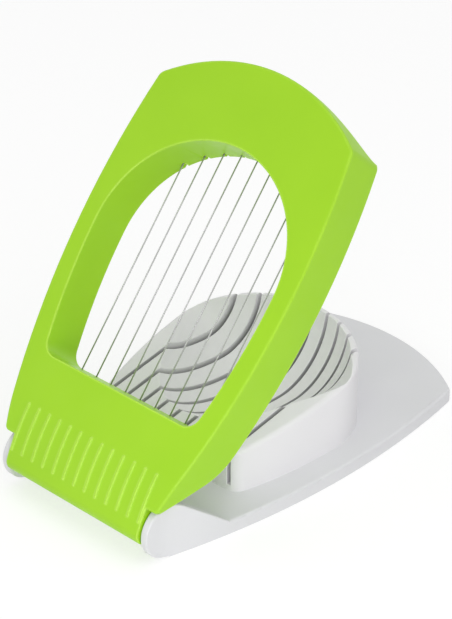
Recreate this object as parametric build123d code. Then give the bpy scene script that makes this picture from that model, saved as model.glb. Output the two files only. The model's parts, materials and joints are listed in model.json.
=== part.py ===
from build123d import *
import os
from math import cos, radians, sin, tan

# An egg slicer: a flat base with a slotted egg cradle, and a hinged lid strung with cutting wires.
# All sizes are millimetres. Lengths named Y or V run from the hinge line to the far end, and
# heights named N are measured in the lid, upwards from the hinge axis when the lid is closed.

# Plan outline shared by the base and the lid
HALF_WIDTH = 37.3
WIDEST_Y = 68.0
HINGE_INSET = 10.1
CORNER_INSET = 3.3
APEX_Y = 119.6
FAR_ARC_RISE = 11.6
CORNER_RADIUS = 3.0

# Base plate
PLATE_FRONT_Y = 1.0
PLATE_HEIGHT = 3.9
PLATE_SKIN = 2.0
PLATE_WALL = 2.2
PLATE_EDGE_RADIUS = 1.0
PLATE_RIB = 1.6
PLATE_RIB_PITCH = 25.0

# Hinge
HINGE_HEIGHT = 7.4
EAR_THICKNESS = 2.2
EAR_SETBACK = 0.7
EAR_RISE = 0.9
EAR_TABLE_GAP = 0.6
EAR_TOE_Y = 2.0
EAR_FOOT_Y = 19.0
EAR_BLEND_RADIUS = 20.0
HINGE_WALL_GAP = 3.7
PIN_DIAMETER = 3.0
PIN_CLEARANCE = 0.06
PIN_END_GAP = 0.2
SOCKET_DEPTH = 1.3
TONGUE_SIDE_GAP = 0.3
OPEN_ANGLE = 50.0

# Lid
LID_DEPTH = 13.6
LID_SKIN = 2.0
LID_WALL = 1.8
LID_EDGE_RADIUS = 0.6
LIFT_NOTCH_SKIN = 1.4
RIM_GAP = 0.2
SHOULDER_V = 4.2
SHOULDER_RADIUS = 1.5
SKIRT_END_V = 20.0
SKIRT_END_RADIUS = 17.0
TONGUE_BEND_V = 14.5
TONGUE_ROOT_V = 22.0
TONGUE_DROP = 5.7
TONGUE_TIP_REACH = 1.6
TONGUE_TIP_RADIUS = 3.3
HUB_WALL = 2.4
HUB_BACK_ANGLE = 30.0
RAIL_WIDTH = 5.7
BRIDGE_WIDTH = 22.2
WINDOW_FOOT_V = 27.2
WINDOW_FOOT_INSET = 4.4
WINDOW_CORNER_RADIUS = 4.5

# Grip ribs on the tongue
GRIP_RIB_COUNT = 13
GRIP_RIB_START = 1.1
GRIP_RIB_LENGTH = 13.4
GRIP_RIB_MARGIN = 0.9
GRIP_RIB_WIDTH = 0.7
GRIP_RIB_HEIGHT = 0.3

# Cutting wires and what holds them
WIRE_COUNT = 9
WIRE_PITCH = 5.5
WIRE_DIAMETER = 0.4
WIRE_RECESS = 2.2
WIRE_HOLE_CLEARANCE = 0.15
WIRE_HEAD_DIAMETER = 1.3
WIRE_HEAD_LENGTH = 1.2
BAR_WIDTH = 3.2
BAR_HEIGHT = 3.0
BAR_RIM_GAP = 0.7
BAR_WALL_GAP = 1.8
BAR_END = 6.5
SCREW_INSET = 2.6
SCREW_SHANK_DIAMETER = 1.8
SCREW_SHANK_LENGTH = 5.5
SCREW_PILOT_CLEARANCE = 0.05
SCREW_HEAD_DIAMETER = 3.2
SCREW_HEAD_HEIGHT = 1.2
SCREW_RECESS_DIAMETER = 3.8
SCREW_SLOT = 0.5
BOSS_DIAMETER = 4.6

# Egg cradle
CRADLE_FRONT_GAP = 1.6
CRADLE_FAR_GAP = 8.3
CRADLE_SIDE_GAP = 1.9
CRADLE_FRONT_INSET = 5.2
CRADLE_CORNER_RADIUS = 4.0
CRADLE_FRONT_HEIGHT = 16.5
CRADLE_TOP_SLOPE = 9.5
CRADLE_FAR_DEPTH = 25.2
CRADLE_EDGE_RADIUS = 1.5
BOWL_FRONT_RIM = 4.7
BOWL_FAR_RIM = 2.1
BOWL_SIDE_RIM = 3.2
BOWL_DEEPEST = 20.0
BOWL_CENTRE_RISE = 5.4
BOWL_FLARE = 0.82
BOWL_WIRE_GAP = 1.05
SLOT_WIDTH = 1.2
SLOT_FLOOR_GAP = 0.45
PEG_DIAMETER = 4.0
PEG_CLEARANCE = 0.1
PEG_HEAD_DIAMETER = 5.6
PEG_HEAD_HEIGHT = 0.8
PEG_INSET = 8.0

# Values that follow from the driving sizes
HINGE_HALF_WIDTH = HALF_WIDTH - HINGE_INSET
CORNER_HALF_WIDTH = HALF_WIDTH - CORNER_INSET
CORNER_Y = APEX_Y - FAR_ARC_RISE
EAR_INNER_X = HINGE_HALF_WIDTH - EAR_THICKNESS
EAR_CENTRE_Z = HINGE_HEIGHT + EAR_RISE
EAR_RADIUS = EAR_CENTRE_Z - EAR_TABLE_GAP
TONGUE_HALF_WIDTH = EAR_INNER_X - TONGUE_SIDE_GAP
RIM_N = PLATE_HEIGHT + RIM_GAP - HINGE_HEIGHT
FACE_N = RIM_N + LID_DEPTH
SKIN_N = FACE_N - LID_SKIN
TIP_N = FACE_N - TONGUE_DROP
HUB_RADIUS = PIN_DIAMETER / 2 + PIN_CLEARANCE + HUB_WALL
TIP_Y = -TONGUE_TIP_REACH * cos(radians(OPEN_ANGLE)) - TIP_N * sin(radians(OPEN_ANGLE))
FRONT_REACH = max(EAR_RADIUS - EAR_SETBACK, TONGUE_TIP_RADIUS - TIP_Y)
HINGE_Y = (FRONT_REACH - APEX_Y) / 2
WINDOW_RADIUS = HALF_WIDTH - RAIL_WIDTH
WINDOW_APEX_V = APEX_Y - BRIDGE_WIDTH
WINDOW_CENTRE_V = WINDOW_APEX_V - WINDOW_RADIUS
WIRE_N = RIM_N + WIRE_RECESS
WIRE_RADIUS = WIRE_DIAMETER / 2
WIRE_XS = [(i - (WIRE_COUNT - 1) / 2) * WIRE_PITCH for i in range(WIRE_COUNT)]
WIRE_CLOSED_Z = HINGE_HEIGHT + WIRE_N
BAR_BOTTOM_N = RIM_N + BAR_RIM_GAP
BAR_TOP_N = BAR_BOTTOM_N + BAR_HEIGHT
BAR_HALF_LENGTH = WIRE_XS[-1] + BAR_END
SCREW_X = BAR_HALF_LENGTH - SCREW_INSET
FRONT_BAR_V = WINDOW_FOOT_V - LID_WALL - BAR_WALL_GAP - BAR_WIDTH / 2
REAR_BAR_V = WINDOW_APEX_V + LID_WALL + BAR_WALL_GAP + BAR_WIDTH / 2
CRADLE_FRONT_Y = WINDOW_FOOT_V + CRADLE_FRONT_GAP
CRADLE_FAR_Y = WINDOW_APEX_V - CRADLE_FAR_GAP
CRADLE_HALF_WIDTH = WINDOW_RADIUS - CRADLE_SIDE_GAP
CRADLE_WIDEST_Y = CRADLE_FAR_Y - CRADLE_FAR_DEPTH
BOWL_FRONT_Y = CRADLE_FRONT_Y + BOWL_FRONT_RIM
BOWL_FAR_Y = CRADLE_FAR_Y - BOWL_FAR_RIM
SLOT_FLOOR_Z = WIRE_CLOSED_Z - WIRE_RADIUS - SLOT_FLOOR_GAP
BOWL_FLOOR_Z = WIRE_CLOSED_Z + WIRE_RADIUS + BOWL_WIRE_GAP
CUT = 1.0
FAR = 300.0


def upright(y, z, x=0.0):
    """A plane square to the hinge line, with its own x along +Y and its own y along +Z."""
    return Plane(origin=(x, y, z), x_dir=(0, 1, 0), z_dir=(1, 0, 0))


def block(x0, x1, y0, y1, z0, z1):
    """A box between two corners."""
    middle = Pos((x0 + x1) / 2, (y0 + y1) / 2, (z0 + z1) / 2)
    return middle * Box(x1 - x0, y1 - y0, z1 - z0)


def along_y(radius, y0, y1, x, z):
    """A round bar that runs along Y."""
    plane = Plane(origin=(x, y0, z), x_dir=(1, 0, 0), z_dir=(0, 1, 0))
    return extrude(plane * Circle(radius), amount=y1 - y0)


def along_x(radius, half_length, y, z):
    """A round bar along X, centred on the middle of the part."""
    return extrude(upright(y, z, -half_length) * Circle(radius), amount=2 * half_length)


def upright_bar(radius, z0, z1, x, y):
    """A round bar that stands along Z."""
    return Pos(x, y, (z0 + z1) / 2) * Cylinder(radius, z1 - z0)


def curved_side(foot_half_width, foot_y, half_width, widest_y):
    """An arc from the foot that ends square to the hinge line at the widest point."""
    return TangentArc((half_width, widest_y), (foot_half_width, foot_y), tangent=(0, -1))


def mirrored(edges):
    """Edges of the right half, with their mirror images on the left."""
    return edges + [mirror(edge, about=Plane.YZ) for edge in edges]


def plan_outline():
    """The outline that base and lid share: bowed sides and an arched far end."""
    side = ThreePointArc(
        (HINGE_HALF_WIDTH, 0), (HALF_WIDTH, WIDEST_Y), (CORNER_HALF_WIDTH, CORNER_Y)
    )
    far = ThreePointArc((CORNER_HALF_WIDTH, CORNER_Y), (0, APEX_Y), (-CORNER_HALF_WIDTH, CORNER_Y))
    near = Line((-HINGE_HALF_WIDTH, 0), (HINGE_HALF_WIDTH, 0))
    face = make_face([near, far] + mirrored([side]))
    corners = face.vertices().filter_by(lambda v: abs(v.Y - CORNER_Y) < CUT)
    return fillet(corners, radius=CORNER_RADIUS)


def window_outline():
    """The lid's opening: an arch on bowed sides, with a straight foot."""
    foot_half_width = WINDOW_RADIUS - WINDOW_FOOT_INSET
    side = curved_side(foot_half_width, WINDOW_FOOT_V, WINDOW_RADIUS, WINDOW_CENTRE_V)
    arch = ThreePointArc(
        (WINDOW_RADIUS, WINDOW_CENTRE_V), (0, WINDOW_APEX_V), (-WINDOW_RADIUS, WINDOW_CENTRE_V)
    )
    foot = Line((-foot_half_width, WINDOW_FOOT_V), (foot_half_width, WINDOW_FOOT_V))
    face = make_face([foot, arch] + mirrored([side]))
    corners = face.vertices().filter_by(lambda v: abs(v.Y - WINDOW_FOOT_V) < CUT)
    return fillet(corners, radius=WINDOW_CORNER_RADIUS)


def cradle_outline():
    """The cradle's foot: a straight front, bowed sides and an elliptical far end."""
    front_half_width = CRADLE_HALF_WIDTH - CRADLE_FRONT_INSET
    side = curved_side(front_half_width, CRADLE_FRONT_Y, CRADLE_HALF_WIDTH, CRADLE_WIDEST_Y)
    far = EllipticalCenterArc(
        (0, CRADLE_WIDEST_Y), CRADLE_HALF_WIDTH, CRADLE_FAR_DEPTH, start_angle=0, arc_size=180
    )
    front = Line((-front_half_width, CRADLE_FRONT_Y), (front_half_width, CRADLE_FRONT_Y))
    face = make_face([front, far] + mirrored([side]))
    corners = face.vertices().filter_by(lambda v: abs(v.Y - CRADLE_FRONT_Y) < CUT)
    return fillet(corners, radius=CRADLE_CORNER_RADIUS)


def cradle_top_z(y):
    """Height of the cradle's sloping top at a distance from the hinge line."""
    return CRADLE_FRONT_HEIGHT + (y - CRADLE_FRONT_Y) * tan(radians(CRADLE_TOP_SLOPE))


def peg_places():
    """The four pegs that hold the cradle down, near the corners of its foot."""
    x = CRADLE_HALF_WIDTH - CRADLE_FRONT_INSET - PEG_INSET
    return [(side * x, y) for side in (-1, 1) for y in (CRADLE_FRONT_Y + PEG_INSET, CRADLE_WIDEST_Y)]


def make_base_plate():
    """The base: a shallow tray turned upside down, ribbed below, with two hinge ears."""
    outline = plan_outline()
    plate = extrude(outline, amount=PLATE_HEIGHT)
    plate -= block(-FAR, FAR, -FAR, PLATE_FRONT_Y, -CUT, PLATE_HEIGHT + CUT)
    top_edges = plate.faces().sort_by(Axis.Z)[-1].edges()
    plate = fillet([e for e in top_edges if e.center().Y > PLATE_FRONT_Y + CUT], PLATE_EDGE_RADIUS)
    hollow = extrude(offset(outline, amount=-PLATE_WALL), amount=PLATE_HEIGHT - PLATE_SKIN)
    middle_y = -HINGE_Y
    hollow -= block(-PLATE_RIB / 2, PLATE_RIB / 2, -FAR, FAR, -CUT, PLATE_HEIGHT)
    for step in (-1, 0, 1):
        y = middle_y + step * PLATE_RIB_PITCH
        hollow -= block(-FAR, FAR, y - PLATE_RIB / 2, y + PLATE_RIB / 2, -CUT, PLATE_HEIGHT)
    hinge_wall_y = HUB_RADIUS + HINGE_WALL_GAP
    hollow -= block(-FAR, FAR, -FAR, hinge_wall_y + PLATE_WALL, -CUT, PLATE_HEIGHT)
    plate -= hollow
    plate -= block(-EAR_INNER_X, EAR_INNER_X, -FAR, hinge_wall_y, -CUT, PLATE_HEIGHT + CUT)
    for side in (-1, 1):
        plate += make_ear(side)
    socket_half_length = EAR_INNER_X + SOCKET_DEPTH
    plate -= along_x(PIN_DIAMETER / 2 + PIN_CLEARANCE, socket_half_length, 0, HINGE_HEIGHT)
    for x, y in peg_places():
        plate -= upright_bar(PEG_DIAMETER / 2 + PEG_CLEARANCE, -CUT, PLATE_HEIGHT + CUT, x, y)
        head_room = PEG_HEAD_DIAMETER / 2 + PEG_CLEARANCE
        plate -= upright_bar(head_room, -CUT, PLATE_HEIGHT - PLATE_SKIN, x, y)
    return plate


def ear_plan():
    """An ear from above: flat round the pin, then flush with the plate's bowed side."""
    width = HALF_WIDTH - EAR_INNER_X
    rear = Pos(EAR_INNER_X + width / 2, EAR_FOOT_Y / 2) * Rectangle(width, EAR_FOOT_Y)
    front = Pos(EAR_INNER_X + EAR_THICKNESS / 2, -EAR_RADIUS) * Rectangle(EAR_THICKNESS, 2 * EAR_RADIUS)
    plan = (plan_outline() & rear) + front
    crease = Vector(HINGE_HALF_WIDTH, 0)
    corner = plan.vertices().sort_by(lambda v: (Vector(v) - crease).length)[0]
    return fillet(corner, radius=EAR_BLEND_RADIUS)


def make_ear(side):
    """One hinge ear: a round end on a gusset that runs down to the plate."""
    foot = Polyline((EAR_TOE_Y, 0), (EAR_FOOT_Y, 0), (EAR_FOOT_Y, PLATE_HEIGHT))
    round_end = CenterArc((EAR_SETBACK, EAR_CENTRE_Z), EAR_RADIUS, 0, 360)
    profile = make_hull(foot.edges() + round_end.edges())
    ear = extrude(upright(0, 0, EAR_INNER_X) * profile, amount=HALF_WIDTH - EAR_INNER_X)
    ear &= extrude(ear_plan(), amount=EAR_CENTRE_Z + EAR_RADIUS + CUT)
    return ear if side > 0 else mirror(ear, about=Plane.YZ)


def egg_sizes():
    """The egg that the bowl is shaped to: its centre and its half sizes."""
    centre_y = BOWL_FAR_Y - BOWL_DEEPEST
    centre_z = cradle_top_z(centre_y) + BOWL_CENTRE_RISE
    depth = centre_z - BOWL_FLOOR_Z
    half_width = CRADLE_HALF_WIDTH - BOWL_SIDE_RIM
    front_share = (1 - ((centre_z - cradle_top_z(BOWL_FRONT_Y)) / depth) ** 2) ** 0.5
    far_share = (1 - ((centre_z - cradle_top_z(BOWL_FAR_Y)) / depth) ** 2) ** 0.5
    front = (centre_y - BOWL_FRONT_Y) / front_share
    far = (BOWL_FAR_Y - centre_y) / far_share
    return Pos(0, centre_y, centre_z), half_width, front, far, depth


def make_egg():
    """The egg, blunt end at the far side, as wide as the outer wires."""
    place, half_width, front, far, depth = egg_sizes()
    profile = make_face([
        EllipticalCenterArc((0, 0), half_width, front, start_angle=270, arc_size=90),
        EllipticalCenterArc((0, 0), half_width, far, start_angle=0, arc_size=90),
        Line((0, -front), (0, far)),
    ])
    egg = scale(revolve(profile, axis=Axis.Y), by=(1, 1, depth / half_width))
    return place * egg & block(-WIRE_XS[-1], WIRE_XS[-1], 0, APEX_Y, 0, FAR)


def make_flares():
    """Cones that carry the bowl on past the outer wires, up to the cradle's edge."""
    place, half_width, front, far, depth = egg_sizes()
    inner_x = WIRE_XS[-1]
    radius = depth * (1 - (inner_x / half_width) ** 2) ** 0.5
    reach = CRADLE_HALF_WIDTH - inner_x
    profile = Polygon(
        (inner_x, 0), (inner_x, radius), (inner_x + reach, radius - BOWL_FLARE * reach),
        (inner_x + reach, 0), align=None,
    )
    cone = revolve(profile, axis=Axis.X)
    near_half = scale(cone & block(0, FAR, -FAR, 0, -FAR, FAR), by=(1, front / depth, 1))
    far_half = scale(cone & block(0, FAR, 0, FAR, -FAR, FAR), by=(1, far / depth, 1))
    halves = [place * near_half, place * far_half]
    return halves + [mirror(half, about=Plane.YZ) for half in halves]


def make_egg_cradle():
    """The cradle: a solid block with a sloping top, an egg-shaped bowl and a slot for each wire."""
    outline = cradle_outline()
    body = extrude(Pos(0, 0, PLATE_HEIGHT) * outline, amount=2 * CRADLE_FRONT_HEIGHT)
    rise = FAR * tan(radians(CRADLE_TOP_SLOPE))
    above = Polygon((-FAR, -rise), (FAR, rise), (FAR, FAR), (-FAR, FAR), align=None)
    body -= extrude(upright(CRADLE_FRONT_Y, CRADLE_FRONT_HEIGHT, -FAR) * above, amount=2 * FAR)
    top = body.faces().filter_by(GeomType.PLANE).sort_by(Axis.Z)[-1]
    body = fillet(top.edges(), radius=CRADLE_EDGE_RADIUS)
    body -= make_egg()
    for flare in make_flares():
        body -= flare
    for x in WIRE_XS:
        body -= block(x - SLOT_WIDTH / 2, x + SLOT_WIDTH / 2, 0, APEX_Y, SLOT_FLOOR_Z, FAR)
    for x, y in peg_places():
        peg_foot = PLATE_HEIGHT - PLATE_SKIN - PEG_HEAD_HEIGHT
        body += upright_bar(PEG_DIAMETER / 2, peg_foot, PLATE_HEIGHT, x, y)
        body += upright_bar(PEG_HEAD_DIAMETER / 2, peg_foot, peg_foot + PEG_HEAD_HEIGHT, x, y)
    return body


def bend_circle():
    """The arc that leaves the lid's face and runs into the tongue's round tip: centre and radius."""
    length = TONGUE_BEND_V + TONGUE_TIP_REACH
    slack = length ** 2 + TONGUE_DROP ** 2 - TONGUE_TIP_RADIUS ** 2
    radius = slack / (2 * (TONGUE_DROP - TONGUE_TIP_RADIUS))
    return Vector(TONGUE_BEND_V, FACE_N - radius), radius


def bend_arc(start_v, end_v, raise_by=0.0):
    """The bend between two distances from the hinge: its start, middle and end points."""
    centre, radius = bend_circle()
    points = []
    for v in (start_v, (start_v + end_v) / 2, end_v):
        across = v - centre.X
        ray = Vector(across, (radius ** 2 - across ** 2) ** 0.5)
        points.append(centre + ray * ((radius + raise_by) / radius))
    return points


def tip_end_v():
    """Where the bend meets the tongue's tip."""
    centre, radius = bend_circle()
    reach = TONGUE_BEND_V + TONGUE_TIP_REACH
    return -TONGUE_TIP_REACH - reach * TONGUE_TIP_RADIUS / (radius - TONGUE_TIP_RADIUS)


def make_tongue():
    """The lid's tongue: a bent arm with a round tip, thickened to a hub about the hinge axis."""
    start, middle, finish = bend_arc(TONGUE_BEND_V, tip_end_v())
    back = radians(HUB_BACK_ANGLE)
    under = (HUB_RADIUS * cos(back), HUB_RADIUS * sin(back))
    tip = (-TONGUE_TIP_REACH, TIP_N)
    arm = make_face([
        ThreePointArc(start, middle, finish),
        Polyline(finish, tip, (0, 0), under, (TONGUE_ROOT_V, SKIN_N), (TONGUE_ROOT_V, FACE_N), start),
    ])
    round_tip = CenterArc(tip, TONGUE_TIP_RADIUS, 0, 360)
    hub = CenterArc((0, 0), HUB_RADIUS, 0, 360)
    profile = arm + make_hull(round_tip.edges() + hub.edges())
    return extrude(upright(0, 0, -TONGUE_HALF_WIDTH) * profile, amount=2 * TONGUE_HALF_WIDTH)


def make_grip_ribs():
    """Fine raised ribs that run over the tongue's bend, side by side along the hinge line."""
    start_v = TONGUE_BEND_V - GRIP_RIB_START
    end_v = start_v - GRIP_RIB_LENGTH
    outer = bend_arc(start_v, end_v, GRIP_RIB_HEIGHT)
    inner = bend_arc(start_v, end_v, -GRIP_RIB_HEIGHT)
    profile = make_face([
        ThreePointArc(*outer), Line(outer[2], inner[2]), ThreePointArc(*inner), Line(inner[0], outer[0])
    ])
    first_x = -TONGUE_HALF_WIDTH + GRIP_RIB_MARGIN
    pitch = -2 * first_x / (GRIP_RIB_COUNT - 1)
    ribs = []
    for i in range(GRIP_RIB_COUNT):
        x = first_x + i * pitch - GRIP_RIB_WIDTH / 2
        ribs.append(extrude(upright(0, 0, x) * profile, amount=GRIP_RIB_WIDTH))
    return ribs


def make_lift_notch():
    """The cut in the lid's far wall that lets a finger under the lid: half an ellipse."""
    half_width = CORNER_HALF_WIDTH - LID_WALL / 2
    height = LID_DEPTH - LIFT_NOTCH_SKIN
    inside_wall = Plane((0, CORNER_Y - LID_WALL, RIM_N), x_dir=(1, 0, 0), z_dir=(0, 1, 0))
    return extrude(inside_wall * Ellipse(half_width, height), amount=FAR)


def make_lid_shell():
    """The lid, closed: a hollow frame round the window, with the tongue that turns on the pin."""
    outline = plan_outline()
    start, middle, finish = bend_arc(TONGUE_BEND_V, tip_end_v())
    shell = extrude(Pos(0, 0, RIM_N) * outline, amount=LID_DEPTH)
    over_bend = make_face([
        ThreePointArc(start, middle, finish),
        Polyline(finish, (finish.X, FACE_N + CUT), (TONGUE_BEND_V, FACE_N + CUT), start),
    ])
    shell -= extrude(upright(0, 0, -FAR) * over_bend, amount=2 * FAR)
    shell -= block(-FAR, FAR, -FAR, SHOULDER_V, RIM_N - CUT, FACE_N + CUT)
    ends = shell.edges().filter_by(Axis.Z).filter_by(lambda e: abs(e.center().Y - SHOULDER_V) < CUT)
    shell = fillet(ends, radius=SHOULDER_RADIUS)
    face = shell.faces().filter_by(GeomType.PLANE).sort_by(Axis.Z)[-1]
    round_faces = shell.faces().filter_by(GeomType.CYLINDER)
    bend = round_faces.filter_by(lambda f: f.center().Y < TONGUE_BEND_V).sort_by(Axis.Z)[-1]
    shoulder_edges = [e for e in bend.edges() if abs(e.center().X) > TONGUE_HALF_WIDTH]
    face_edges = [e for e in face.edges() if e.center().Y > TONGUE_BEND_V + CUT]
    shell = fillet(shoulder_edges + face_edges, radius=LID_EDGE_RADIUS)
    window = window_outline()
    shell -= extrude(Pos(0, 0, RIM_N - CUT) * window, amount=LID_DEPTH + 2 * CUT)
    hollow = offset(outline, amount=-LID_WALL) - offset(window, amount=LID_WALL)
    shell -= extrude(Pos(0, 0, RIM_N - CUT) * hollow, amount=LID_DEPTH - LID_SKIN + CUT)
    slant = [(FAR, RIM_N), (SKIRT_END_V, RIM_N), (SHOULDER_V, SKIN_N), (-FAR, SKIN_N)]
    under_skirt = Polygon(*slant, (-FAR, -FAR), (FAR, -FAR), align=None)
    rim_end = under_skirt.vertices().filter_by(lambda v: abs(v.X - SKIRT_END_V) < CUT)
    under_skirt = fillet(rim_end, radius=SKIRT_END_RADIUS)
    shell -= extrude(upright(0, 0, -FAR) * under_skirt, amount=2 * FAR)
    shell -= make_lift_notch()
    shell += make_tongue()
    shell += make_grip_ribs()
    for x in WIRE_XS:
        notch = WIRE_RADIUS + WIRE_HOLE_CLEARANCE
        shell -= block(x - notch, x + notch, FRONT_BAR_V, REAR_BAR_V, RIM_N - CUT, WIRE_N + notch)
    for x, v in screw_places():
        shell += upright_bar(BOSS_DIAMETER / 2, BAR_TOP_N, FACE_N - LID_SKIN / 2, x, v)
        pilot_radius = SCREW_SHANK_DIAMETER / 2 + SCREW_PILOT_CLEARANCE
        pilot_top = BAR_TOP_N + SCREW_SHANK_LENGTH + SCREW_PILOT_CLEARANCE
        shell -= upright_bar(pilot_radius, BAR_TOP_N - CUT, pilot_top, x, v)
    shell -= along_x(PIN_DIAMETER / 2 + PIN_CLEARANCE, TONGUE_HALF_WIDTH + CUT, 0, 0)
    return shell


def screw_places():
    """Two screws for each wire bar."""
    return [(side * SCREW_X, v) for v in (FRONT_BAR_V, REAR_BAR_V) for side in (-1, 1)]


def make_wire_bar(bar_v):
    """A strip under the lid, drilled for the wires, with a recessed screw at each end."""
    front_v = bar_v - BAR_WIDTH / 2
    rear_v = bar_v + BAR_WIDTH / 2
    bar = block(-BAR_HALF_LENGTH, BAR_HALF_LENGTH, front_v, rear_v, BAR_BOTTOM_N, BAR_TOP_N)
    for x in WIRE_XS:
        hole = WIRE_RADIUS + WIRE_HOLE_CLEARANCE
        bar -= along_y(hole, bar_v - BAR_WIDTH, bar_v + BAR_WIDTH, x, WIRE_N)
    for side in (-1, 1):
        x = side * SCREW_X
        hole = SCREW_SHANK_DIAMETER / 2 + WIRE_HOLE_CLEARANCE
        bar -= upright_bar(hole, BAR_BOTTOM_N - CUT, BAR_TOP_N + CUT, x, bar_v)
        recess_top = BAR_BOTTOM_N + SCREW_HEAD_HEIGHT
        bar -= upright_bar(SCREW_RECESS_DIAMETER / 2, BAR_BOTTOM_N - CUT, recess_top, x, bar_v)
    return bar


def make_bar_screw(x, v):
    """A small screw with a slotted head, its head level with the underside of the bar."""
    head_top = BAR_BOTTOM_N + SCREW_HEAD_HEIGHT
    screw = upright_bar(SCREW_HEAD_DIAMETER / 2, BAR_BOTTOM_N, head_top, x, v)
    screw += upright_bar(SCREW_SHANK_DIAMETER / 2, head_top, BAR_TOP_N + SCREW_SHANK_LENGTH, x, v)
    half_slot = SCREW_SLOT / 2
    slot_top = BAR_BOTTOM_N + SCREW_SLOT
    screw -= block(x - FAR, x + FAR, v - half_slot, v + half_slot, BAR_BOTTOM_N - CUT, slot_top)
    return screw


def make_cutting_wire(x):
    """One straight wire, headed at both ends against the outer faces of the bars."""
    front_v = FRONT_BAR_V - BAR_WIDTH / 2
    rear_v = REAR_BAR_V + BAR_WIDTH / 2
    wire = along_y(WIRE_RADIUS, front_v, rear_v, x, WIRE_N)
    wire += along_y(WIRE_HEAD_DIAMETER / 2, front_v - WIRE_HEAD_LENGTH, front_v, x, WIRE_N)
    wire += along_y(WIRE_HEAD_DIAMETER / 2, rear_v, rear_v + WIRE_HEAD_LENGTH, x, WIRE_N)
    return wire


def make_hinge_pin():
    """A plain rod whose ends sit in the blind sockets of the ears."""
    half_length = EAR_INNER_X + SOCKET_DEPTH - PIN_END_GAP
    return along_x(PIN_DIAMETER / 2, half_length, 0, HINGE_HEIGHT)


def placed_base(shape):
    """Moves a piece of the base into the part's frame."""
    return Pos(0, HINGE_Y, 0) * shape


def placed_lid(shape):
    """Turns a piece of the lid to its open angle about the hinge, in the part's frame."""
    return Pos(0, HINGE_Y, HINGE_HEIGHT) * Rot(OPEN_ANGLE, 0, 0) * shape


pieces = {
    "base_plate": placed_base(make_base_plate()),
    "egg_cradle": placed_base(make_egg_cradle()),
    "hinge_pin": placed_base(make_hinge_pin()),
    "lid_shell": placed_lid(make_lid_shell()),
    "front_wire_bar": placed_lid(make_wire_bar(FRONT_BAR_V)),
    "rear_wire_bar": placed_lid(make_wire_bar(REAR_BAR_V)),
    "bar_screws": Compound(children=[placed_lid(make_bar_screw(x, v)) for x, v in screw_places()]),
}
for number, wire_x in enumerate(WIRE_XS, start=1):
    pieces[f"cutting_wire_{number}"] = placed_lid(make_cutting_wire(wire_x))

os.makedirs("parts", exist_ok=True)
for node, piece in pieces.items():
    export_step(piece, f"parts/{node}.step")
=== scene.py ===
# %% [markdown]
# # An egg slicer, dressed for its portrait
# The slicer is two plastic mouldings on one hinge. The white base carries a slotted cradle for the
# egg, and the green lid carries steel wires that close into the slots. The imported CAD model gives
# every shape and every place in metres. Blender adds soft edges, finishes, light and a camera.

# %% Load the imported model
import json
from math import cos, radians, sin

import bmesh
import bpy
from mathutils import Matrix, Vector

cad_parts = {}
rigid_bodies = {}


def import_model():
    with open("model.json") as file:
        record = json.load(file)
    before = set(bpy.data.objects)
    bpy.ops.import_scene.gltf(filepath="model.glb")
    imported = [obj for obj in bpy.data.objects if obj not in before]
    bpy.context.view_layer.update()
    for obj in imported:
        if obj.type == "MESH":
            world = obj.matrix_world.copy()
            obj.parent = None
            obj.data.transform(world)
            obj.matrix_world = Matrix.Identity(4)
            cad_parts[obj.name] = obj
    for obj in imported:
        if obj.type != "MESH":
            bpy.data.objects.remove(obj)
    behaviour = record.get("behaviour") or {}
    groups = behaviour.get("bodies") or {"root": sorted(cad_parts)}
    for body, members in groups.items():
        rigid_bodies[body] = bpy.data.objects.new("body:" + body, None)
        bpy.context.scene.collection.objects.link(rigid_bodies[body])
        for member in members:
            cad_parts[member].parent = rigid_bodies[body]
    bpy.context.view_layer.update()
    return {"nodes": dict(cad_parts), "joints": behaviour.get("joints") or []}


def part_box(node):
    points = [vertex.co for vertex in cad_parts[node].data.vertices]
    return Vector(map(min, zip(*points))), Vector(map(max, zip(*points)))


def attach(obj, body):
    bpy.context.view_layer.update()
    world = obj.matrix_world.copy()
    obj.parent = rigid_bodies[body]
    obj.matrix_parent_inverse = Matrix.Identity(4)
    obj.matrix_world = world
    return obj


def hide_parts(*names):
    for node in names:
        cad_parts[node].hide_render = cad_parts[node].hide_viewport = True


for leftover in list(bpy.data.objects):
    bpy.data.objects.remove(leftover)
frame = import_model()
lid_hinge = frame["joints"][0]
scene = bpy.context.scene
MM = 0.001

# %% [markdown]
# ## Camera
# The camera was solved from the photograph: which way it looks, how far off it stands, and its
# focal length in pixels. A vertical sensor fit ties the lens to the height of the picture, so the
# framing stays right whatever size the render is. The view could be turned by hand until it looks
# alike, but a solved camera also shows where a shape is wrong.

# %% Camera
PICTURE_HEIGHT_PX = 619
FOCAL_LENGTH_PX = 2342.69
CAMERA_AZIMUTH = radians(43.381)
CAMERA_ELEVATION = radians(31.074)
CAMERA_DISTANCE = 0.6276
LOOK_AT = Vector(lid_hinge["pos_m"]) + Vector((1.18, 50.0, 34.56)) * MM

level = cos(CAMERA_ELEVATION)
towards_camera = Vector(
    (sin(CAMERA_AZIMUTH) * level, -cos(CAMERA_AZIMUTH) * level, sin(CAMERA_ELEVATION))
)
lens = bpy.data.cameras.new("portrait_lens")
lens.sensor_fit = "VERTICAL"
lens.sensor_height = 36.0
lens.lens = FOCAL_LENGTH_PX / PICTURE_HEIGHT_PX * lens.sensor_height
camera = bpy.data.objects.new("portrait_camera", lens)
camera.location = LOOK_AT + towards_camera * CAMERA_DISTANCE
camera.rotation_euler = towards_camera.to_track_quat("Z", "Y").to_euler()
scene.collection.objects.link(camera)
scene.camera = camera
scene.view_settings.view_transform = "Standard"
print("lens", round(lens.lens, 2), "mm, camera at", [round(c, 3) for c in camera.location])

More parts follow.
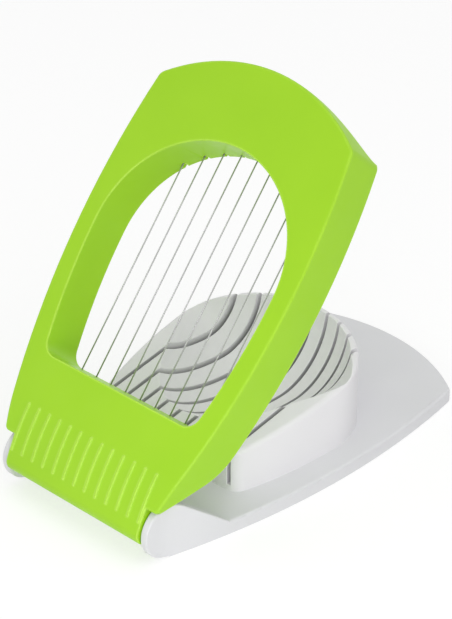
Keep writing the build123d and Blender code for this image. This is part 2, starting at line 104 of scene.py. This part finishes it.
# %% [markdown]
# ## Small helpers for nodes
# A material is a graph of nodes, and so is a Geometry Nodes tree. Both could be built with nothing
# but Blender's own calls, but each node then takes many lines. These helpers add a node, set its
# sockets and join two sockets, so that a finish reads as a short list of what is mixed with what.


# %% Helpers that add nodes
def add_node(tree, kind, settings=None, **sockets):
    """Adds a node. settings are the node's own properties, sockets its input values."""
    node = tree.nodes.new(kind)
    for name, value in (settings or {}).items():
        setattr(node, name, value)
    for name, value in sockets.items():
        node.inputs[name.replace("_", " ")].default_value = value
    return node


def new_group(name, inputs, outputs):
    """An empty shader group with named float or vector sockets."""
    group = bpy.data.node_groups.new(name, "ShaderNodeTree")
    for title, kind, value in inputs:
        socket = group.interface.new_socket(title, in_out="INPUT", socket_type=kind)
        if value is not None:
            socket.default_value = value
    for title, kind in outputs:
        group.interface.new_socket(title, in_out="OUTPUT", socket_type=kind)
    return group, group.nodes.new("NodeGroupInput"), group.nodes.new("NodeGroupOutput")


def place_group(tree, group, **values):
    """Puts a shader group into a material, with its own values."""
    node = tree.nodes.new("ShaderNodeGroup")
    node.node_tree = group
    for name, value in values.items():
        node.inputs[name.replace("_", " ")].default_value = value
    return node


print("node helpers ready")


# %% Helpers that calculate and mix
def calculate(tree, operation, first, second=None, clamp=False):
    """A math node. Each operand is a number or a socket."""
    node = add_node(tree, "ShaderNodeMath", {"operation": operation, "use_clamp": clamp})
    for socket, value in zip(node.inputs, (first, second)):
        if value is None:
            continue
        if isinstance(value, (int, float)):
            socket.default_value = value
        else:
            tree.links.new(value, socket)
    return node.outputs[0]


# A Mix node's sockets for numbers, vectors and colours share their names, so the ones for colours
# are found by number.
MIX_SHARE, MIX_FIRST, MIX_SECOND, MIX_RESULT = 0, 6, 7, 2


def mixed(tree, share, first, second):
    """A Mix node for colours. Each colour is three numbers or a socket."""
    node = add_node(tree, "ShaderNodeMix", {"data_type": "RGBA"})
    tree.links.new(share, node.inputs[MIX_SHARE])
    for number, colour in ((MIX_FIRST, first), (MIX_SECOND, second)):
        if isinstance(colour, tuple):
            node.inputs[number].default_value = (*colour, 1.0)
        else:
            tree.links.new(colour, node.inputs[number])
    return node.outputs[MIX_RESULT]


print("calculating helpers ready")

# %% [markdown]
# ## Moulded skin
# Injection moulded plastic isn't a mirror. The tool leaves a very fine grain, the melt cools in
# broad soft swells, and the tone drifts a little where the wall is thick. A painted picture could
# show that, but noise on Object coordinates needs no unwrapping. One group gives all three, and
# every plastic below shares it.

# %% Shader group for the moulded skin
skin_group, skin_in, skin_out = new_group(
    "moulded_skin",
    [("Vector", "NodeSocketVector", None), ("Grain Scale", "NodeSocketFloat", 2600.0),
     ("Swell Scale", "NodeSocketFloat", 55.0), ("Swell Share", "NodeSocketFloat", 0.5)],
    [("Height", "NodeSocketFloat"), ("Tone", "NodeSocketFloat"), ("Gloss", "NodeSocketFloat")],
)
grain = add_node(skin_group, "ShaderNodeTexNoise", Detail=3.0, Roughness=0.6)
swell = add_node(skin_group, "ShaderNodeTexNoise", Detail=1.0, Roughness=0.4)
handling = add_node(
    skin_group, "ShaderNodeTexNoise", Scale=190.0, Detail=5.0, Roughness=0.65, Distortion=0.6
)
for texture in (grain, swell, handling):
    skin_group.links.new(skin_in.outputs["Vector"], texture.inputs["Vector"])
skin_group.links.new(skin_in.outputs["Grain Scale"], grain.inputs["Scale"])
skin_group.links.new(skin_in.outputs["Swell Scale"], swell.inputs["Scale"])
swell_part = calculate(
    skin_group, "MULTIPLY", swell.outputs[0], skin_in.outputs["Swell Share"]
)
skin_height = calculate(skin_group, "ADD", grain.outputs[0], swell_part)
skin_group.links.new(skin_height, skin_out.inputs["Height"])
skin_group.links.new(swell.outputs[0], skin_out.inputs["Tone"])
skin_group.links.new(handling.outputs[0], skin_out.inputs["Gloss"])
print("group", skin_group.name)

# %% [markdown]
# ## Painted edge highlights and slot shade
# Corners and ribs catch the light, so their colour is painted a little paler: a painted highlight.
# The edges could be painted by hand, but the Bevel node finds them by itself. It bends the normal
# near an edge, and where that differs from the true normal there is an edge. Noise breaks the line
# up so that it doesn't look drawn. The same group also finds narrow slots with an Ambient Occlusion
# node, and the plastics paint them darker: painted shade.

# %% Shader group for painted edge highlights and slot shade
# The least share of the painted edge highlight, where the noise is lowest.
LEAST_PAINTED_HIGHLIGHT = 0.35
SLOT_REACH = 2.2 * MM
SLOT_SHADE, OPEN_SHADE = 0.25, 0.8

edge_group, edge_in, edge_out = new_group(
    "painted_edge_highlight_and_slot_shade",
    [("Vector", "NodeSocketVector", None), ("Radius", "NodeSocketFloat", 0.6 * MM),
     ("Strength", "NodeSocketFloat", 8.0)],
    [("Edge", "NodeSocketFloat"), ("Open", "NodeSocketFloat")],
)
bent = add_node(edge_group, "ShaderNodeBevel", {"samples": 6})
true_normal = add_node(edge_group, "ShaderNodeNewGeometry")
alike = add_node(edge_group, "ShaderNodeVectorMath", {"operation": "DOT_PRODUCT"})
patches = add_node(edge_group, "ShaderNodeTexNoise", Scale=320.0, Detail=3.0)
edge_group.links.new(edge_in.outputs["Radius"], bent.inputs["Radius"])
edge_group.links.new(edge_in.outputs["Vector"], patches.inputs["Vector"])
edge_group.links.new(bent.outputs["Normal"], alike.inputs[0])
edge_group.links.new(true_normal.outputs["Normal"], alike.inputs[1])
turned = calculate(edge_group, "SUBTRACT", 1.0, alike.outputs["Value"], clamp=True)
strong = calculate(edge_group, "MULTIPLY", turned, edge_in.outputs["Strength"])
patchy = calculate(edge_group, "ADD", patches.outputs[0], LEAST_PAINTED_HIGHLIGHT)
broken = calculate(edge_group, "MULTIPLY", strong, patchy)
edge_group.links.new(calculate(edge_group, "MINIMUM", broken, 1.0), edge_out.inputs["Edge"])
# Painted shade: occlusion finds narrow slots, and the plastics darken them.
nook = add_node(
    edge_group, "ShaderNodeAmbientOcclusion", {"samples": 8, "only_local": True},
    Distance=SLOT_REACH,
)
openness = add_node(
    edge_group, "ShaderNodeMapRange", From_Min=SLOT_SHADE, From_Max=OPEN_SHADE
)
edge_group.links.new(nook.outputs["AO"], openness.inputs["Value"])
edge_group.links.new(openness.outputs[0], edge_out.inputs["Open"])
print("group", edge_group.name)

# %% [markdown]
# ## Three mixes of one plastic
# All are the same kind of plastic with a satin gloss. The lid is a fresh yellow green, the base a
# cool white, and the cradle, a moulding of its own, a lighter white, painted lighter to offset the
# shade that the open lid casts on it. Three separate graphs would soon differ by accident, so one
# function builds all three from their colours. The skin group drives the bump, a slight drift of
# tone and patches of gloss where fingers have been. The edge group paints corners a little paler,
# as a painted highlight, and slots darker, as painted shade.

# %% The plastic's recipe
PLASTIC_IOR = 1.49
PLASTIC_SPECULAR = 0.35
GLOSS_SPREAD = 0.06
GRAIN_DEPTH = 0.06 * MM


def moulded_plastic(name, painted_slot_shade, deep, plain, painted_highlight, roughness, edge_radius):
    """Four tones of satin plastic: swells, plain skin, painted edge highlight, painted slot shade.
    """
    material = bpy.data.materials.new(name)
    material.use_nodes = True
    tree = material.node_tree
    shader = tree.nodes["Principled BSDF"]
    shader.inputs["IOR"].default_value = PLASTIC_IOR
    shader.inputs["Specular IOR Level"].default_value = PLASTIC_SPECULAR
    place = add_node(tree, "ShaderNodeTexCoord")
    skin = place_group(tree, skin_group)
    edges = place_group(tree, edge_group, Radius=edge_radius)
    for group in (skin, edges):
        tree.links.new(place.outputs["Object"], group.inputs["Vector"])
    tone = mixed(tree, skin.outputs["Tone"], deep, plain)
    # Painted highlight: the edge mask makes corners and ribs paler.
    paler = mixed(tree, edges.outputs["Edge"], tone, painted_highlight)
    # Painted shade: the occlusion mask darkens narrow slots.
    with_painted_slot_shade = mixed(tree, edges.outputs["Open"], painted_slot_shade, paler)
    tree.links.new(with_painted_slot_shade, shader.inputs["Base Color"])
    gloss = add_node(tree, "ShaderNodeMapRange", From_Min=0.3, From_Max=0.7)
    gloss.inputs["To Min"].default_value = roughness - GLOSS_SPREAD
    gloss.inputs["To Max"].default_value = roughness + GLOSS_SPREAD
    tree.links.new(skin.outputs["Gloss"], gloss.inputs["Value"])
    tree.links.new(gloss.outputs[0], shader.inputs["Roughness"])
    bump = add_node(tree, "ShaderNodeBump", Strength=0.25, Distance=GRAIN_DEPTH)
    tree.links.new(skin.outputs["Height"], bump.inputs["Height"])
    tree.links.new(bump.outputs["Normal"], shader.inputs["Normal"])
    return material


print("plastic recipe ready")

# %% Plastic materials
# In each plastic the slot colour is painted shade and the pale edge colour a painted highlight.
green_plastic = moulded_plastic(
    "green_lid_plastic", painted_slot_shade=(0.30, 0.60, 0.008), deep=(0.325, 0.635, 0.008),
    plain=(0.365, 0.68, 0.014), painted_highlight=(0.66, 0.93, 0.17), roughness=0.40, edge_radius=0.8 * MM,
)
white_plastic = moulded_plastic(
    "white_base_plastic", painted_slot_shade=(0.42, 0.42, 0.43), deep=(0.70, 0.70, 0.72),
    plain=(0.745, 0.745, 0.765), painted_highlight=(0.82, 0.82, 0.83), roughness=0.42, edge_radius=0.5 * MM,
)
# The cradle's white is painted lighter than the base's, to offset the lid's shade over it.
cradle_plastic = moulded_plastic(
    "white_cradle_plastic", painted_slot_shade=(0.50, 0.49, 0.51), deep=(0.795, 0.785, 0.805),
    plain=(0.84, 0.83, 0.85), painted_highlight=(0.88, 0.88, 0.89), roughness=0.42, edge_radius=0.5 * MM,
)
print("plastics", green_plastic.name, white_plastic.name, cradle_plastic.name)

# %% [markdown]
# ## Drawn steel
# Wire is pulled through a die, which leaves streaks along its length. An anisotropic shader could
# hint at them, but noise that is stretched along one direction draws the streaks themselves. A
# Mapping node turns the pattern so that it runs along the wires in the open lid, which lie at the
# lid's angle, and along the pin, which lies across. The wires are only half metallic, because wires
# as thin as these then look about as pale as in the photograph.

# %% The steel's recipe
STREAK_DEPTH = 0.02 * MM


def drawn_steel(name, turn, streak, dark, bright, metallic):
    """Steel with streaks. turn and streak are the Mapping node's rotation and scale."""
    material = bpy.data.materials.new(name)
    material.use_nodes = True
    tree = material.node_tree
    shader = tree.nodes["Principled BSDF"]
    shader.inputs["Metallic"].default_value = metallic
    place = add_node(tree, "ShaderNodeTexCoord")
    mapping = add_node(tree, "ShaderNodeMapping", Rotation=turn, Scale=streak)
    noise = add_node(tree, "ShaderNodeTexNoise", Scale=1.0, Detail=4.0, Roughness=0.6)
    tree.links.new(place.outputs["Object"], mapping.inputs["Vector"])
    tree.links.new(mapping.outputs["Vector"], noise.inputs["Vector"])
    tree.links.new(mixed(tree, noise.outputs[0], dark, bright), shader.inputs["Base Color"])
    rough = add_node(tree, "ShaderNodeMapRange", To_Min=0.22, To_Max=0.42)
    tree.links.new(noise.outputs[0], rough.inputs["Value"])
    tree.links.new(rough.outputs[0], shader.inputs["Roughness"])
    bump = add_node(tree, "ShaderNodeBump", Strength=0.2, Distance=STREAK_DEPTH)
    tree.links.new(noise.outputs[0], bump.inputs["Height"])
    tree.links.new(bump.outputs["Normal"], shader.inputs["Normal"])
    return material


print("steel recipe ready")

# %% Steel materials
LID_ANGLE = radians(-lid_hinge["range_deg"][0])  # the turn that would close the lid
wire_steel = drawn_steel(
    "drawn_wire_steel", turn=(-LID_ANGLE, 0.0, 0.0), streak=(9000.0, 160.0, 9000.0),
    dark=(0.36, 0.35, 0.37), bright=(0.58, 0.57, 0.59), metallic=0.5,
)
pin_steel = drawn_steel(
    "hinge_pin_steel", turn=(0.0, 0.0, 0.0), streak=(160.0, 6000.0, 6000.0),
    dark=(0.42, 0.43, 0.45), bright=(0.66, 0.67, 0.68), metallic=1.0,
)
print("steels", wire_steel.name, pin_steel.name)

# %% [markdown]
# ## Soft edges on the mouldings
# No moulded edge is perfectly sharp: the tool has a small radius, and that radius is what catches
# the light. Every CAD edge could have a fillet, but so small a radius is easier to keep clean on a
# mesh. A CAD mesh arrives as loose triangles, so the copy is merged first, flat areas are dissolved
# into single faces, and the outward edges that turn sharply get a Bevel modifier. Inner corners are
# left, because on a low rib there is no room for both. The bevel then only takes material away, so
# the size stays the same.

# %% Merged copies of CAD nodes
MERGE_DISTANCE = 0.002 * MM
FLAT_ANGLE = radians(0.6)


def merged_copy(node):
    """A copy of a CAD mesh, with its triangles joined and its flat areas made single faces."""
    mesh = frame["nodes"][node].data.copy()
    if "custom_normal" in mesh.attributes:
        mesh.attributes.remove(mesh.attributes["custom_normal"])
    work = bmesh.new()
    work.from_mesh(mesh)
    bmesh.ops.remove_doubles(work, verts=work.verts, dist=MERGE_DISTANCE)
    bmesh.ops.dissolve_limit(work, angle_limit=FLAT_ANGLE, verts=work.verts, edges=work.edges)
    bmesh.ops.recalc_face_normals(work, faces=work.faces)
    return mesh, work


print("copying helper ready")

# %% Softened copies of CAD nodes
BEVEL_SEGMENTS = 3
SHADING_MARGIN = 8.0


def soften(name, node, body, material, width, rounded, turn=32.0):
    """Stands a softened copy in for a CAD node.

    Edges that turn by more than turn degrees are sharp, and rounded picks those to bevel.
    """
    mesh, work = merged_copy(node)
    weight = work.edges.layers.float.new("bevel_weight_edge")
    chosen = 0
    for edge in work.edges:
        sharp = edge.is_convex and edge.calc_face_angle(0.0) > radians(turn)
        middle = (edge.verts[0].co + edge.verts[1].co) / 2
        if sharp and rounded(middle):
            edge[weight] = 1.0
            chosen += 1
    work.to_mesh(mesh)
    work.free()
    draft = bpy.data.objects.new(name + "_draft", mesh)
    scene.collection.objects.link(draft)
    bevel = draft.modifiers.new("soft_edges", "BEVEL")
    bevel.limit_method = "WEIGHT"
    bevel.width = width
    bevel.segments = BEVEL_SEGMENTS
    bevel.use_clamp_overlap = False
    bevel.loop_slide = False
    flatter = draft.modifiers.new("flat_faces_first", "WEIGHTED_NORMAL")
    flatter.keep_sharp = True
    mesh.shade_smooth()
    mesh.set_sharp_from_angle(angle=radians(turn + SHADING_MARGIN))
    finished = draft.evaluated_get(bpy.context.evaluated_depsgraph_get())
    shape = bpy.data.meshes.new_from_object(finished)
    bpy.data.objects.remove(draft)
    shape.materials.clear()
    shape.materials.append(material)
    piece = bpy.data.objects.new(name, shape)
    scene.collection.objects.link(piece)
    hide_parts(node)
    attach(piece, body)
    print(name, "rounds", chosen, "edges,", len(shape.polygons), "faces")


print("softening helper ready")

# %% [markdown]
# ## The white base
# The plate is one moulding with its hinge ears, and the cradle that stands on it is another. Both
# could be drawn again, but copies of the CAD solids keep every size. The plate's top edges and ears
# have a generous radius, as a polished tool leaves it, and the cradle's thin slats a smaller one.
# The plate's own curves arrive as facets, so only edges that turn by more than 60 degrees get the
# radius there.

# %% Base and cradle
UNDERSIDE_TOP_Z = 4.2 * MM
PLATE_EDGE_TURN = 60.0


def above_table(point):
    """True for edges that a hand or the camera meets, not for the ribs under the plate."""
    return point.z > UNDERSIDE_TOP_Z


soften(
    "base_moulding", "base_plate", "base", white_plastic,
    width=0.4 * MM, rounded=above_table, turn=PLATE_EDGE_TURN,
)
soften(
    "cradle_moulding", "egg_cradle", "base", cradle_plastic,
    width=0.15 * MM, rounded=above_table,
)

# %% [markdown]
# ## The green lid
# The lid is a hollow frame, and two bars under it hold the wires. A Solidify modifier could make
# such a shell, but a copy of the CAD solid already has the hollow and the window. Its sharp outward
# edges all carry the same small radius, also round the window and on the grip ribs, and the ribs
# look like soft ridges because of it. The long arched edge is already round in CAD, and its narrow
# facets must not count as edges.

# %% Lid and wire bars
LID_EDGE_TURN = 72.0


def anywhere(point):
    """Rounds every sharp edge."""
    return True


soften(
    "lid_moulding", "lid_shell", "lid", green_plastic,
    width=0.22 * MM, rounded=anywhere, turn=LID_EDGE_TURN,
)
for end in ("front", "rear"):
    soften(
        end + "_bar_moulding", end + "_wire_bar", "lid", green_plastic,
        width=0.25 * MM, rounded=anywhere,
    )

# %% [markdown]
# ## Nine wires from one
# The wires are cut from the same reel. Nine cylinders could be placed one by one, but one wire that
# Geometry Nodes repeats keeps them all alike. A line of points along the hinge direction carries
# the copies. Each wire is a long thin cylinder with a bead at both ends, because a real wire is
# stopped by a swaged bead behind its bar. The count, pitch and length are inputs of the tree, read
# from the CAD nodes that it replaces.


# %% Geometry Nodes helpers
def geometry_tree(name, inputs):
    """An empty Geometry Nodes tree with named inputs and one geometry output."""
    tree = bpy.data.node_groups.new(name, "GeometryNodeTree")
    tree.interface.new_socket("Geometry", in_out="OUTPUT", socket_type="NodeSocketGeometry")
    for title, kind in inputs:
        tree.interface.new_socket(title, in_out="INPUT", socket_type=kind)
    return tree, tree.nodes.new("NodeGroupInput"), tree.nodes.new("NodeGroupOutput")


def grown(name, tree, values, material):
    """Runs a tree once with its inputs set, and returns the result as a plain object."""
    seed = bpy.data.objects.new(name + "_seed", bpy.data.meshes.new(name + "_seed"))
    scene.collection.objects.link(seed)
    modifier = seed.modifiers.new(name, "NODES")
    modifier.node_group = tree
    for item in tree.interface.items_tree:
        if item.in_out == "INPUT":
            modifier[item.identifier] = values[item.name]
    finished = seed.evaluated_get(bpy.context.evaluated_depsgraph_get())
    mesh = bpy.data.meshes.new_from_object(finished)
    seed.modifiers.remove(modifier)
    bpy.data.objects.remove(seed)
    mesh.materials.clear()
    mesh.materials.append(material)
    piece = bpy.data.objects.new(name, mesh)
    scene.collection.objects.link(piece)
    return piece


print("geometry helpers ready")

# %% Tree for the wires: one wire with its beads
wire_tree, wire_in, wire_out = geometry_tree("strung_wires", [
    ("Count", "NodeSocketInt"), ("Pitch", "NodeSocketFloat"), ("Length", "NodeSocketFloat"),
    ("Wire Radius", "NodeSocketFloat"), ("Bead Radius", "NodeSocketFloat"),
    ("Bead Length", "NodeSocketFloat"), ("Centre", "NodeSocketVector"),
    ("Lean", "NodeSocketVector"), ("Steel", "NodeSocketMaterial"),
])
given = wire_in.outputs
wire_links = wire_tree.links
bead_span = calculate(wire_tree, "SUBTRACT", given["Length"], given["Bead Length"])
shaft = add_node(wire_tree, "GeometryNodeMeshCylinder", Vertices=20)
wire_links.new(given["Wire Radius"], shaft.inputs["Radius"])
wire_links.new(bead_span, shaft.inputs["Depth"])
ball = add_node(wire_tree, "GeometryNodeMeshUVSphere", Segments=20, Rings=10, Radius=1.0)
bead_size = add_node(wire_tree, "ShaderNodeCombineXYZ")
for axis in "XY":
    wire_links.new(given["Bead Radius"], bead_size.inputs[axis])
half_bead = calculate(wire_tree, "DIVIDE", given["Bead Length"], 2.0)
wire_links.new(half_bead, bead_size.inputs["Z"])
one_wire = add_node(wire_tree, "GeometryNodeJoinGeometry")
wire_links.new(shaft.outputs["Mesh"], one_wire.inputs[0])
for share in (-0.5, 0.5):
    bead_place = add_node(wire_tree, "ShaderNodeCombineXYZ")
    wire_links.new(calculate(wire_tree, "MULTIPLY", bead_span, share), bead_place.inputs["Z"])
    bead = add_node(wire_tree, "GeometryNodeTransform")
    wire_links.new(ball.outputs["Mesh"], bead.inputs["Geometry"])
    wire_links.new(bead_size.outputs[0], bead.inputs["Scale"])
    wire_links.new(bead_place.outputs[0], bead.inputs["Translation"])
    wire_links.new(bead.outputs[0], one_wire.inputs[0])
print("one wire from", len(wire_tree.nodes), "nodes")

# %% Tree for the wires: a row of them
row = add_node(wire_tree, "GeometryNodeMeshLine", {"mode": "OFFSET"})
step = add_node(wire_tree, "ShaderNodeCombineXYZ")
wire_links.new(given["Pitch"], step.inputs["X"])
gaps = calculate(wire_tree, "SUBTRACT", given["Count"], 1.0)
steps_to_first = calculate(wire_tree, "DIVIDE", gaps, -2.0)  # half of the gaps, to the left
first = add_node(wire_tree, "ShaderNodeCombineXYZ")
wire_links.new(
    calculate(wire_tree, "MULTIPLY", given["Pitch"], steps_to_first), first.inputs["X"]
)
wire_links.new(given["Count"], row.inputs["Count"])
wire_links.new(first.outputs[0], row.inputs["Start Location"])
wire_links.new(step.outputs[0], row.inputs["Offset"])
strung = add_node(wire_tree, "GeometryNodeInstanceOnPoints")
wire_links.new(row.outputs["Mesh"], strung.inputs["Points"])
wire_links.new(one_wire.outputs[0], strung.inputs["Instance"])
lean = add_node(wire_tree, "FunctionNodeEulerToRotation")
wire_links.new(given["Lean"], lean.inputs[0])
wire_links.new(lean.outputs[0], strung.inputs["Rotation"])
moved = add_node(wire_tree, "GeometryNodeTransform")
wire_links.new(strung.outputs[0], moved.inputs["Geometry"])
wire_links.new(given["Centre"], moved.inputs["Translation"])
real = add_node(wire_tree, "GeometryNodeRealizeInstances")
smooth = add_node(wire_tree, "GeometryNodeSetShadeSmooth")
finish = add_node(wire_tree, "GeometryNodeSetMaterial")
wire_links.new(moved.outputs[0], real.inputs[0])
wire_links.new(real.outputs[0], smooth.inputs["Geometry"])
wire_links.new(smooth.outputs[0], finish.inputs["Geometry"])
wire_links.new(given["Steel"], finish.inputs["Material"])
wire_links.new(finish.outputs[0], wire_out.inputs[0])
print("tree", wire_tree.name, "with", len(wire_tree.nodes), "nodes")

# %% Grow the wires
WIRE_RADIUS = 0.2 * MM
BEAD_LENGTH = 1.2 * MM
wire_nodes = sorted(node for node in frame["nodes"] if node.startswith("cutting_wire"))
first_low, first_high = (Vector(corner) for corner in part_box(wire_nodes[0]))
last_low, last_high = (Vector(corner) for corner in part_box(wire_nodes[-1]))
bead_radius = (first_high.x - first_low.x) / 2
# Along Y a leaning wire's box is longer than the wire, because its round ends lean too.
level_length = first_high.y - first_low.y - 2 * bead_radius * sin(LID_ANGLE)
wire_length = level_length / cos(LID_ANGLE)
wires = grown("cutting_wires", wire_tree, {
    "Count": len(wire_nodes),
    "Pitch": (last_low.x - first_low.x) / (len(wire_nodes) - 1),
    "Length": wire_length,
    "Wire Radius": WIRE_RADIUS,
    "Bead Radius": bead_radius,
    "Bead Length": BEAD_LENGTH,
    "Centre": (first_low + last_high) / 2,
    "Lean": (LID_ANGLE - radians(90.0), 0.0, 0.0),
    "Steel": wire_steel,
}, wire_steel)
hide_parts(*wire_nodes)
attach(wires, "lid")
print(len(wire_nodes), "wires of", round(wire_length / MM, 1), "mm")

# %% [markdown]
# ## Screws and pin
# Four small screws hold the wire bars, and a steel rod is the hinge. Their heads and ends are
# turned on a lathe, so their edges get a very small bevel. New cylinders could stand in for them,
# but the CAD solids have the right shape already, so copies of those are softened.

# %% Screws and pin
soften(
    "bar_screw_set", "bar_screws", "lid", pin_steel,
    width=0.12 * MM, rounded=anywhere,
)
soften(
    "hinge_rod", "hinge_pin", "base", pin_steel,
    width=0.25 * MM, rounded=anywhere,
)

# %% [markdown]
# ## Floor
# The photograph is a bright product shot on white. A strong lamp could make the floor white too,
# but it would also bleach the slicer. The floor is a pale plane that keeps a soft shadow, and a
# Light Path node tells rays that see it from rays that only carry light. The floor can then look
# white without throwing more light on the slicer.


# %% Rays that see the background
def seen_directly(tree):
    """1 for rays of the camera, reflections and transmission, 0 for rays that carry light."""
    rays = add_node(tree, "ShaderNodeLightPath")
    seen = calculate(
        tree, "MAXIMUM", rays.outputs["Is Camera Ray"], rays.outputs["Is Glossy Ray"]
    )
    return calculate(tree, "MAXIMUM", seen, rays.outputs["Is Transmission Ray"])


print("ray helper ready")

# %% Floor
WHITE = (1.0, 1.0, 1.0, 1.0)
FLOOR_HALF = 3.0
FLOOR_DROP = 0.1 * MM
FLOOR_LIGHTING_GREY = (0.88, 0.88, 0.88)
FLOOR_SEEN_GREY = (0.45, 0.45, 0.45)
FLOOR_GLOW = 0.60

floor_mesh = bpy.data.meshes.new("floor")
corners = [
    (x * FLOOR_HALF, y * FLOOR_HALF, -FLOOR_DROP) for x, y in ((-1, -1), (1, -1), (1, 1), (-1, 1))
]
floor_mesh.from_pydata(corners, [], [(0, 1, 2, 3)])
floor = bpy.data.objects.new("floor", floor_mesh)
scene.collection.objects.link(floor)
floor_paint = bpy.data.materials.new("pale_floor")
floor_paint.use_nodes = True
floor_tree = floor_paint.node_tree
floor_shader = floor_tree.nodes["Principled BSDF"]
floor_shader.inputs["Roughness"].default_value = 0.9
floor_shader.inputs["Specular IOR Level"].default_value = 0.0
floor_shader.inputs["Emission Color"].default_value = WHITE
floor_seen = seen_directly(floor_tree)
glow = calculate(floor_tree, "MULTIPLY", floor_seen, FLOOR_GLOW)
floor_tree.links.new(glow, floor_shader.inputs["Emission Strength"])
paint = mixed(floor_tree, floor_seen, FLOOR_LIGHTING_GREY, FLOOR_SEEN_GREY)
floor_tree.links.new(paint, floor_shader.inputs["Base Color"])
floor_mesh.materials.append(floor_paint)
print("floor", FLOOR_HALF * 2, "m wide")

# %% [markdown]
# ## World
# The world works like the floor. A picture of a studio could light the scene, but plain white puts
# no pattern into reflections. The camera and reflections see white at full strength, and the light
# that the world gives is weaker, so that white plastic stays below clipping.

# %% World
AMBIENT = 0.55
world = bpy.data.worlds.new("studio")
scene.world = world
world.use_nodes = True
world_tree = world.node_tree
world_tree.nodes.clear()
ambient = add_node(world_tree, "ShaderNodeBackground", Color=WHITE, Strength=AMBIENT)
backdrop = add_node(world_tree, "ShaderNodeBackground", Color=WHITE, Strength=1.0)
choose = add_node(world_tree, "ShaderNodeMixShader")
output = add_node(world_tree, "ShaderNodeOutputWorld")
world_tree.links.new(seen_directly(world_tree), choose.inputs[0])
world_tree.links.new(ambient.outputs[0], choose.inputs[1])
world_tree.links.new(backdrop.outputs[0], choose.inputs[2])
world_tree.links.new(choose.outputs[0], output.inputs["Surface"])
print("world gives", AMBIENT)

# %% [markdown]
# ## Lamps
# Four square lamps stand in for a photographer's softboxes. One lamp would be simpler, but four can
# be set one by one against the photograph. The key stands high on the right, a weaker one lights
# the lid from the left, and a small one low in front brightens the grip and the ear. The overhead
# fill casts no shadow, so that the base under the open lid isn't too dark.

# %% Lamps
LAMPS = [  # name, place in metres, size in metres, power in watts, whether it casts a shadow
    ("key_softbox", (0.90, -0.10, 0.95), 0.8, 2.1, True),
    ("left_softbox", (-0.80, -0.95, 0.35), 0.8, 1.0, True),
    ("low_front_softbox", (0.20, -0.25, 0.07), 0.2, 0.36, True),
    ("overhead_fill", (0.0, 0.0, 1.2), 1.0, 3.5, False),
]
for name, place, size, power, casts_shadow in LAMPS:
    lamp = bpy.data.lights.new(name, "AREA")
    lamp.size = size
    lamp.energy = power
    lamp.use_shadow = casts_shadow
    holder = bpy.data.objects.new(name, lamp)
    holder.location = place
    holder.rotation_euler = (Vector(place) - LOOK_AT).to_track_quat("Z", "Y").to_euler()
    scene.collection.objects.link(holder)
print("lamps", [entry[0] for entry in LAMPS])
